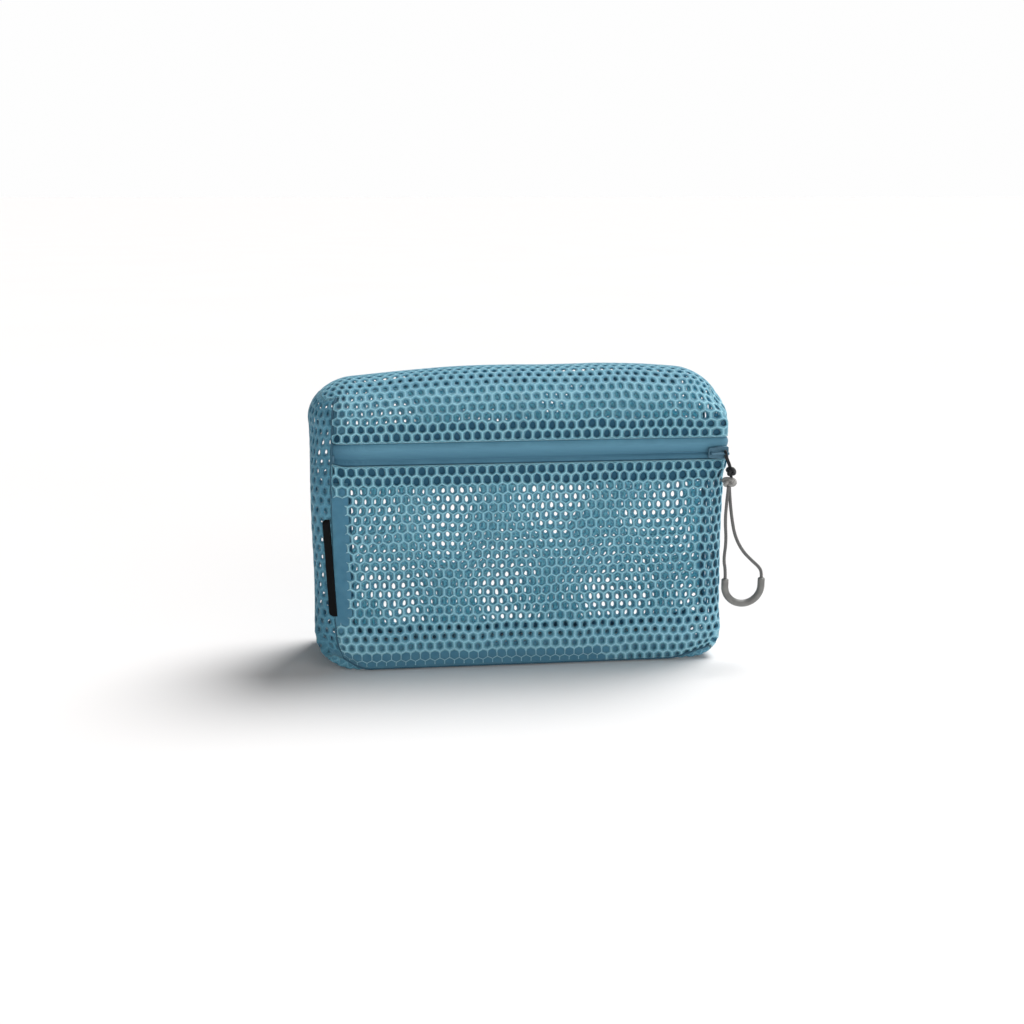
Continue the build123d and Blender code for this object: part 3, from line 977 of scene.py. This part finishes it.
def make_lid_net():
    rails = (Rail(LEFT, RIGHT, lambda x: roof(x, np.full(len(x), TOP + DEPTH / 2))),
             Rail(LID_EDGE, TOP + DEPTH, lambda w: roof(np.zeros(len(w)), w)))
    middle = rails[0].at(0.0)
    seam = rails[0].at(SEAM_LEFT)
    fold = rails[1].at(TOP)

    def notch(centres, low, high):
        corner = centres[:, 0] < seam
        low, high = low.copy(), high.copy()
        low[corner, 1] = fold
        below = ~corner & (centres[:, 1] < fold)
        low[below, 0] = seam
        return low, high

    def left_half(centres):
        outside = (centres[:, 0] < seam) & (centres[:, 1] < fold - ROW / 2)
        return (centres[:, 0] < middle) & ~outside

    def right_half(centres):
        return centres[:, 0] >= middle

    def openness(centres):
        upper = 0.28 * ramp(centres[:, 1], 0.010, 0.022) + 0.12 * ramp(centres[:, 1], 0.024, 0.036)
        share = 1.0 - upper
        return np.column_stack([share, share])

    # Painted shade: the yarn over the lid's top is painted darker, against the strong light that falls on
    # it from above.
    def painted_light_and_shade(flat):
        return 1.0 - 0.24 * ramp(flat[:, 1], 0.024, 0.036)

    first = HEM + HOLE_HEIGHT / 2
    left = net_piece("lid_net_left", rails, roof, 23, openness, first, left_half, notch, painted_light_and_shade)
    right = net_piece("lid_net_right", rails, roof, 23, openness, first, right_half, notch, painted_light_and_shade)
    lid_left(left, "net", "lid_panel")
    lid_right(right, "net")


def make_back_net():
    rails = (wall_rail(SEAM_BACK_RIGHT, SEAM_BACK_LEFT), upright_rail(TOP, RIGHT + DEPTH + RIGHT))

    def openness(centres):
        window = 1.0 - 0.44 * ramp(centres[:, 1], 0.112, 0.124)
        return np.column_stack([0.60 * window, 0.80 * window])

    # Painted light: the back net's yarn is painted paler than the same net elsewhere, so it looks
    # brighter seen through the front.
    net = net_piece("back_net", rails, wall, 37, openness, painted_light_and_shade=painted_light_all_over(1.35))
    bag(net, "net", "back_panel")


def make_left_net():
    start = LEFT - DEPTH - (SEAM_LEFT - LEFT)
    rails = (wall_rail(start, SEAM_LEFT), upright_rail(TOP, LEFT - DEPTH / 2))
    # Painted shade: the left side's yarn is painted much darker than the same net elsewhere, as the shade
    # on that side.
    net = net_piece("left_net", rails, wall, 41, evenly(0.50, 0.62), painted_light_and_shade=painted_light_all_over(0.42))
    bag(net, "net", "left_side_panel")


def make_right_net():
    rails = (wall_rail(RIGHT, SEAM_BACK_RIGHT), upright_rail(TOP, RIGHT + DEPTH / 2))
    side = rails[0].at(SEAM_FRONT_RIGHT)
    shoulder = rails[1].at(LID_EDGE)

    def notch(centres, low, high):
        corner = centres[:, 0] < side
        low = low.copy()
        low[corner, 1] = shoulder
        below = ~corner & (centres[:, 1] < shoulder)
        low[below, 0] = side
        return low, high

    def keep(centres):
        return ~((centres[:, 0] < side) & (centres[:, 1] < shoulder - ROW / 2))

    net = net_piece("right_net", rails, wall, 53, evenly(0.66, 0.74), keep=keep, notch=notch)
    bag(net, "net", "right_side_panel")


def make_bottom_net():
    rails = (Rail(LEFT, RIGHT, lambda x: underside(x, np.zeros(len(x)))),
             Rail(FRONT, BACK, lambda y: underside(np.zeros(len(y)), y)))
    # Painted shade: the bottom's yarn is painted darker than the same net elsewhere, as the shade under
    # the bag.
    net = net_piece("bottom_net", rails, underside, 67, evenly(0.70, 0.70), painted_light_and_shade=painted_light_all_over(0.6))
    bag(net, "net", "bottom_panel")


# ------------------------------------------------------------------ zip
def tape_profile(visible_width, fullness):
    """The tape's outer face: rolled in at the chain, full across the width that shows."""
    def height(u, v):
        across = np.abs(v - CHAIN)
        crease = mix(0.00004, 0.0006, ramp(u, 0.010, 0.080))
        roll = crease * np.exp(-(across / 0.0007) ** 2)
        share = np.clip(across / visible_width, 0.0, 1.0)
        full = fullness * np.sin(share ** 1.6 * np.pi) ** 0.8
        tuck = 0.0004 * np.exp(-((across - visible_width) / 0.0004) ** 2)
        pinch = 0.0009 * (1.0 - ramp(u, TAPE_LEFT, -0.086))
        return TAPE_FRONT - roll + full - pinch - tuck
    return height


def painted_tape_shade(u, v):
    """Painted light and shade on the tape: palest along its upper part as painted light from above,
    painted shadow where the net's hems cover it, and painted shade towards its left end.
    """
    share = (v - FRONT_EDGE) / (LID_EDGE - FRONT_EDGE)
    # Painted light: paler up the shown part of the tape.
    shown = 0.50 + 0.35 * ramp(share, 0.20, 0.75)
    # Painted shadow under the net's hems.
    covered = ramp(share, 0.985, 1.03) + 1.0 - ramp(share, -0.03, 0.01)
    # Painted shade towards the tape's left end.
    end = 1.0 - 0.30 * (1.0 - ramp(u, TAPE_LEFT, -0.078))
    return mix(shown, 0.10, covered) * end


def make_tapes():
    near = np.array([0.0, 0.25, 0.5, 0.75, 1.0, 1.3, 1.7, 2.2, 2.8, 3.2, 3.6, 4.0, 4.6, 5.4, 6.2, 7.0,
                     7.5, 8.0, 8.4, 9.0]) * 1e-3
    lower = CHAIN - np.append(near, [0.011, 0.013, TAPE_BELOW])[::-1]
    upper = CHAIN + np.append(near, [0.011, 0.013, 0.015, 0.017, TAPE_ABOVE])
    line = grid_line(TAPE_LEFT, SEAM_FRONT_RIGHT, TAPE_STEP)
    low_face = tape_profile(LOWER_TAPE_SHOWN, LOWER_TAPE_FULLNESS)
    high_face = tape_profile(UPPER_TAPE_SHOWN, UPPER_TAPE_FULLNESS)
    pieces = []
    spans = (("zip_tape_low", line, lower, low_face),
             ("zip_tape_high_left", line[line <= 1e-9], upper, high_face),
             ("zip_tape_high_right", line[line >= line[line <= 1e-9][-1]], upper, high_face))
    for name, u_line, v_line, face in spans:
        pieces.append(slab(name, wall, u_line, v_line, face, TAPE_THICKNESS, TAPE, painted_tape_shade))
    bag(pieces[0], "zip_tape", "zip_tape_lower")
    lid_left(pieces[1], "zip_tape", "zip_tape_upper", "zip_tape_end_left")
    lid_right(pieces[2], "zip_tape", "zip_tape_end_right")


def coil_path(start, end, middle, phase):
    """A spring of zip teeth in box coordinates along the front."""
    turns = (end - start) / TEETH_PITCH
    t = np.linspace(0.0, turns, int(turns * 12))
    angle = 2.0 * np.pi * (t + phase)
    s = start + t * TEETH_PITCH
    z = middle + TEETH_REACH * np.cos(angle)
    depth = TEETH_DEPTH + TEETH_HALF_DEPTH * np.sin(angle)
    return skin(wall(s, z), depth)


def make_coils():
    start = TAPE_LEFT + 0.0014
    end = RIGHT + 0.005
    below, above = CHAIN - TEETH_APART, CHAIN + TEETH_APART
    parts = (("zip_teeth_low", start, end, below, 0.0, bag, ["zip_coil_lower"]),
             ("zip_teeth_high_left", start, 0.0, above, 0.5, lid_left,
              ["zip_coil_upper", "zip_coil_end_left"]),
             ("zip_teeth_high_right", 0.0, end, above, 0.5, lid_right, ["zip_coil_end_right"]))
    for name, low, high, middle, phase, join, nodes in parts:
        piece = tube(name, coil_path(low, high, middle, phase), FILAMENT, COIL, around=6)
        join(piece, "zip_coil", *nodes)


# ------------------------------------------------------------------ bindings and seams
def ribbon(name, chart, u_line, v_line, face=RIBBON_FACE):
    """A strip of binding tape."""
    return slab(name, chart, u_line, v_line, face, RIBBON_THICKNESS, BINDING)


def make_bindings():
    z_line = grid_line(RIBBON_LOW, RIBBON_HIGH, ALONG_STEP)
    far = TOP + DEPTH

    def pressed(u, v):
        close = ramp(v, 0.014, 0.030) * (1.0 - ramp(v, 0.094, 0.101))
        inner_edge = ramp(u, SEAM_LEFT + RIBBON_WIDTH - 0.003, SEAM_LEFT + RIBBON_WIDTH)
        return mix(RIBBON_FACE, 0.00004 - 0.00035 * inner_edge, close)

    def base_face(u, v):
        close = (1.0 - ramp(u, 0.040, 0.066)) * (1.0 - ramp(v, 0.008, 0.015))
        return mix(RIBBON_FACE, -0.00007, close * (u > LEFT))

    def base_chart(u, v):
        front = ramp(u, LEFT - 0.012, LEFT - 0.002) * (1.0 - ramp(u, RIGHT, RIGHT + 0.010))
        return wall(u, v * mix(0.45, 1.0, front))

    uprights = (("front_left", SEAM_LEFT, SEAM_LEFT + RIBBON_WIDTH, pressed),
                ("front_right", SEAM_FRONT_RIGHT, SEAM_FRONT_RIGHT + RIBBON_WIDTH, RIBBON_FACE),
                ("back_left", SEAM_BACK_LEFT - RIBBON_WIDTH, SEAM_BACK_LEFT, RIBBON_FACE),
                ("back_right", SEAM_BACK_RIGHT - RIBBON_WIDTH, SEAM_BACK_RIGHT, RIBBON_FACE))
    for place, start, end, face in uprights:
        piece = ribbon("binding_ribbon_" + place, wall, grid_line(start, end, ACROSS_STEP), z_line, face)
        bag(piece, "binding", "binding_" + place)
    around = np.linspace(*BASE_SPAN, 400)
    up = grid_line(0.001, 0.0135, ACROSS_STEP)
    piece = ribbon("binding_ribbon_base", base_chart, around, up, base_face)
    bag(piece, "binding", "binding_base")
    piece = ribbon("binding_ribbon_hinge", roof, grid_line(SEAM_LEFT, HINGE_RIGHT, ALONG_STEP),
                   grid_line(far, far + RIBBON_WIDTH, ACROSS_STEP))
    bag(piece, "binding", "binding_hinge")
    across = grid_line(SEAM_LEFT, SEAM_LEFT + RIBBON_WIDTH, ACROSS_STEP)
    piece = ribbon("binding_ribbon_lid", roof, across, grid_line(LID_RIBBON_LOW, far - 0.004, ALONG_STEP))
    lid_left(piece, "binding", "binding_lid_left")


def seam_line(name, box_points, depth, radius, material=SEAM_PAINTED_SHADE):
    """A narrow turned-in edge that runs along a seam, by default coloured darker as the painted shade of
    its groove.
    """
    bag(tube(name, skin(box_points, depth), radius, material, around=8), "binding")


def make_seams():
    uprights = (("seam_front_left", SEAM_LEFT, TOP), ("seam_back_left", SEAM_BACK_LEFT, TOP),
                ("seam_front_right", SEAM_FRONT_RIGHT, FRONT_EDGE),
                ("seam_back_right", SEAM_BACK_RIGHT, TOP))
    for name, place, top in uprights:
        z_line = grid_line(0.0, top, ALONG_STEP)
        seam_line(name, wall(np.full(len(z_line), place), z_line), SEAM_DEPTH, SEAM_RADIUS)
    hinge = grid_line(SEAM_LEFT, HINGE_RIGHT, ALONG_STEP)
    seam_line("seam_hinge", roof(hinge, np.full(len(hinge), TOP + DEPTH)), HINGE_SEAM_DEPTH,
              HINGE_SEAM_RADIUS, BINDING)
    around = np.linspace(*BASE_SPAN, 500)
    left_end = (around < SEAM_LEFT) & (around > LEFT - DEPTH)
    depths = np.where(left_end, BASE_SEAM_DEPTH_LEFT, BASE_SEAM_DEPTH)
    seam_line("seam_base", wall(around, np.zeros(len(around))), depths, BASE_SEAM_RADIUS)


# ------------------------------------------------------------------ label
def make_label():
    """A folded label held in the seam, leaning a little and standing proud of the side net."""
    low, high = LABEL_LOW, LABEL_HIGH

    def leaning(u, v):
        ends = np.clip(np.minimum(v - low, high - v) / 0.0024, 0.0, 1.0)
        rounded = mix(0.55, 1.0, np.sqrt(1.0 - (1.0 - ends) ** 2))
        lean = mix(0.0010, -0.0012, (v - low) / (high - low))
        return wall(SEAM_LEFT + (u - SEAM_LEFT) * rounded + lean, v)

    def outer(u, v):
        free = np.clip((SEAM_LEFT - u) / LABEL_WIDTH, 0.0, 1.0)
        ends = np.clip(np.minimum(v - low, high - v) / 0.0015, 0.0, 1.0) ** 0.5
        fold = np.clip((1.0 - free) / 0.12, 0.0, 1.0) ** 0.5
        root = np.clip(free / 0.08, 0.0, 1.0) ** 0.5
        return 0.0002 + 0.0009 * ends * fold * root + 0.0001 * np.sin(v * 260.0)

    u_line = SEAM_LEFT - LABEL_WIDTH * np.linspace(0.0, 1.0, 14)
    v_line = grid_line(low, high, ACROSS_STEP)
    piece = slab("side_label_fold", leaning, u_line, v_line, outer, LABEL_THICKNESS, LABEL)
    bag(piece, "label", "side_label")


# ------------------------------------------------------------------ cord pull
def spline_points(route, samples=24):
    """Points on the smooth line that a cord follows, read from its NURBS spline."""
    curve = bpy.data.curves.new("route", "CURVE")
    curve.dimensions = "3D"
    curve.resolution_u = samples
    spline = curve.splines.new("NURBS")
    spline.points.add(len(route) - 1)
    for point, place in zip(spline.points, route):
        point.co = (*place, 1.0)
    spline.order_u = 3
    spline.use_endpoint_u = True
    holder = bpy.data.objects.new("route", curve)
    mesh = bpy.data.meshes.new_from_object(holder)
    points = np.array([vertex.co for vertex in mesh.vertices])
    bpy.data.objects.remove(holder)
    bpy.data.curves.remove(curve)
    bpy.data.meshes.remove(mesh)
    return points


def even_points(points, step):
    """The same line with evenly spaced points."""
    steps = np.linalg.norm(np.diff(points, axis=0), axis=1)
    walked = np.concatenate([[0.0], np.cumsum(steps)])
    places = np.linspace(0.0, walked[-1], int(walked[-1] / step) + 1)
    line = np.column_stack([np.interp(places, walked, points[:, axis]) for axis in range(3)])
    return line, walked[-1]


def knot_tube(name, centre, reach, strand, material, braid):
    """An overhand knot pulled tight: a cord that passes three times through itself."""
    t = np.linspace(0.0, 2.0 * np.pi, 220, endpoint=False)
    ring = 2.0 + np.cos(3.0 * t)
    path = np.column_stack([ring * np.cos(2.0 * t), np.sin(3.0 * t), ring * np.sin(2.0 * t)])
    path *= (np.array(reach) - strand) / np.array([3.0, 1.0, 3.0])
    path += np.array(centre)
    return tube(name, path, strand, material, around=20, closed=True, braid=braid, braid_pitch=0.0016)


def make_pull():
    loop, loop_length = even_points(spline_points(LOOP_ROUTE), CORD_STEP)
    left, left_length = even_points(spline_points(LEFT_LEG_ROUTE), CORD_STEP)
    right, right_length = even_points(spline_points(RIGHT_LEG_ROUTE), CORD_STEP)
    loop_piece = tube("pull_loop_cord", loop, LOOP_CORD / 2, BLACK_CORD, braid=0.05, braid_pitch=0.0012)
    left_piece = tube("pull_tail_left", left, TAIL_CORD / 2, GREY_CORD, braid=0.06)
    right_piece = tube("pull_tail_right", right, TAIL_CORD / 2, GREY_CORD, braid=0.06)
    black = knot_tube("pull_black_knot", BLACK_KNOT, BLACK_KNOT_REACH, BLACK_STRAND, BLACK_CORD, 0.05)
    grey = knot_tube("pull_grey_knot", GREY_KNOT, GREY_KNOT_REACH, GREY_STRAND, GREY_KNOT_LIT_CORD, 0.06)
    bend = np.linspace(np.pi, 2.0 * np.pi, 40)
    middle, _, height = TAB_CENTRE
    arc = [(middle + TAB_BEND * np.cos(a), PULL_Y, height + TAB_BEND * np.sin(a)) for a in bend]
    arm = np.linspace(TAB_ARM, 0.0, 10)[:-1]
    left_arm = [(middle - TAB_BEND, PULL_Y, height + z) for z in arm]
    right_arm = [(middle + TAB_BEND, PULL_Y, height + z) for z in arm[::-1]]
    tab_path, _ = even_points(np.array(left_arm + arc + right_arm), 0.0002)

    def soft_ends(share):
        end = np.minimum(share, 1.0 - share) / 0.02
        return np.sqrt(np.clip(1.0 - (1.0 - np.clip(end, 0.0, 1.0)) ** 2 * 0.6, 0.05, 1.0))

    tab = tube("pull_tab", tab_path, TAB_RADIUS, PLASTIC, around=28, taper=soft_ends)
    for piece, body, slot, node in (
            (loop_piece, "pull_loop", "black_cord", "loop_cord"),
            (black, "pull_loop", "black_cord", "black_knot"),
            (grey, "pull_tail", "grey_cord", "grey_knot"),
            (left_piece, "pull_tail", "grey_cord", "tail_cord_left"),
            (right_piece, "pull_tail", "grey_cord", "tail_cord_right"),
            (tab, "pull_tail", "grey_plastic", "u_tab")):
        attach(piece, body)
        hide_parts(node)


# ------------------------------------------------------------------ CAD nodes that stay
def dress(node, material):
    """Give a CAD node that stays its detailed material."""
    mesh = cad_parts[node].data
    mesh.materials.clear()
    mesh.materials.append(material)


def make_hardware():
    for node in ("slider_body", "slider_bridge", "zip_bottom_stop", "zip_top_stop_lower",
                 "zip_top_stop_upper"):
        dress(node, PAINT)


# ------------------------------------------------------------------ studio
SURROUND = 0.15
PANEL = 1.72
PANEL_PLACE = (0.40, -0.92, 0.20)
PANEL_FLATNESS = (1.0, 1.0, 2.2)
PANEL_BLUR = (0.45, 0.97)
SUN_PLACE = (0.50, 0.32, 1.0)
SUN_ENERGY = 3.4
SUN_SPREAD = 33.0
FLOOR_REACH = 60.0
CAMERA_PLACE = (-0.0725, -0.6697, 0.2467)
CAMERA_TARGET = (-0.00526, -0.029, 0.0851)
CAMERA_LENS = 44.906


def make_floor():
    size = FLOOR_REACH
    mesh = bpy.data.meshes.new("studio_floor")
    corners = [(-size, -size, 0), (size, -size, 0), (size, size, 0), (-size, size, 0)]
    mesh.from_pydata(corners, [], [(0, 1, 2, 3)])
    mesh.materials.append(floor_material())
    floor = bpy.data.objects.new("studio_floor", mesh)
    bpy.context.scene.collection.objects.link(floor)


def aim(thing, place, target):
    """Put a light or the camera at a place, facing a target."""
    thing.location = place
    direction = Vector(target) - Vector(place)
    thing.rotation_euler = direction.to_track_quat("-Z", "Y").to_euler()


def make_light():
    """One broad soft light from above, from the right and a little from behind."""
    light = bpy.data.lights.new("overhead_light", "SUN")
    light.energy = SUN_ENERGY
    light.angle = np.radians(SUN_SPREAD)
    lamp = bpy.data.objects.new("overhead_light", light)
    bpy.context.scene.collection.objects.link(lamp)
    aim(lamp, SUN_PLACE, (0.0, 0.0, 0.0))


def vector_node(tree, operation, vector, other=None):
    """One step of vector arithmetic in a node tree."""
    node = tree.nodes.new("ShaderNodeVectorMath")
    node.operation = operation
    tree.links.new(vector, node.inputs[0])
    if other is not None:
        node.inputs[1].default_value = other
    return node


def make_world():
    """A dim surround with a broad pale panel low in front; the camera sees plain white paper."""
    world = bpy.data.worlds.new("studio")
    world.use_nodes = True
    tree = world.node_tree
    place = tree.nodes.new("ShaderNodeTexCoord")
    flatten = vector_node(tree, "MULTIPLY", place.outputs["Generated"], PANEL_FLATNESS)
    unit = vector_node(tree, "NORMALIZE", flatten.outputs["Vector"])
    towards = Vector(PANEL_PLACE).normalized()
    facing_panel = vector_node(tree, "DOT_PRODUCT", unit.outputs["Vector"], towards)
    strength = tree.nodes.new("ShaderNodeMapRange")
    strength.interpolation_type = "SMOOTHSTEP"
    strength.inputs["From Min"].default_value = PANEL_BLUR[0]
    strength.inputs["From Max"].default_value = PANEL_BLUR[1]
    strength.inputs["To Min"].default_value = SURROUND
    strength.inputs["To Max"].default_value = PANEL
    tree.links.new(facing_panel.outputs["Value"], strength.inputs["Value"])
    surround = tree.nodes["Background"]
    surround.inputs["Color"].default_value = (1.0, 1.0, 1.0, 1.0)
    tree.links.new(strength.outputs["Result"], surround.inputs["Strength"])
    paper = tree.nodes.new("ShaderNodeBackground")
    paper.inputs["Strength"].default_value = 1.0
    paper.inputs["Color"].default_value = (0.99, 0.99, 0.99, 1.0)
    rays = tree.nodes.new("ShaderNodeLightPath")
    choice = tree.nodes.new("ShaderNodeMixShader")
    tree.links.new(rays.outputs["Is Camera Ray"], choice.inputs["Fac"])
    tree.links.new(surround.outputs["Background"], choice.inputs[1])
    tree.links.new(paper.outputs["Background"], choice.inputs[2])
    tree.links.new(choice.outputs["Shader"], tree.nodes["World Output"].inputs["Surface"])
    bpy.context.scene.world = world


def make_studio():
    make_floor()
    make_light()
    make_world()
    bpy.context.scene.view_settings.view_transform = "Standard"


def make_camera():
    camera = bpy.data.cameras.new("photo_camera")
    camera.lens = CAMERA_LENS
    camera.sensor_width = 36.0
    camera.clip_start = 0.01
    holder = bpy.data.objects.new("photo_camera", camera)
    bpy.context.scene.collection.objects.link(holder)
    aim(holder, CAMERA_PLACE, CAMERA_TARGET)
    bpy.context.scene.camera = holder


make_camera()
make_studio()
make_pull()
make_front_net()
make_lid_net()
make_back_net()
make_left_net()
make_right_net()
make_bottom_net()
make_tapes()
make_coils()
make_bindings()
make_seams()
make_label()
make_hardware()
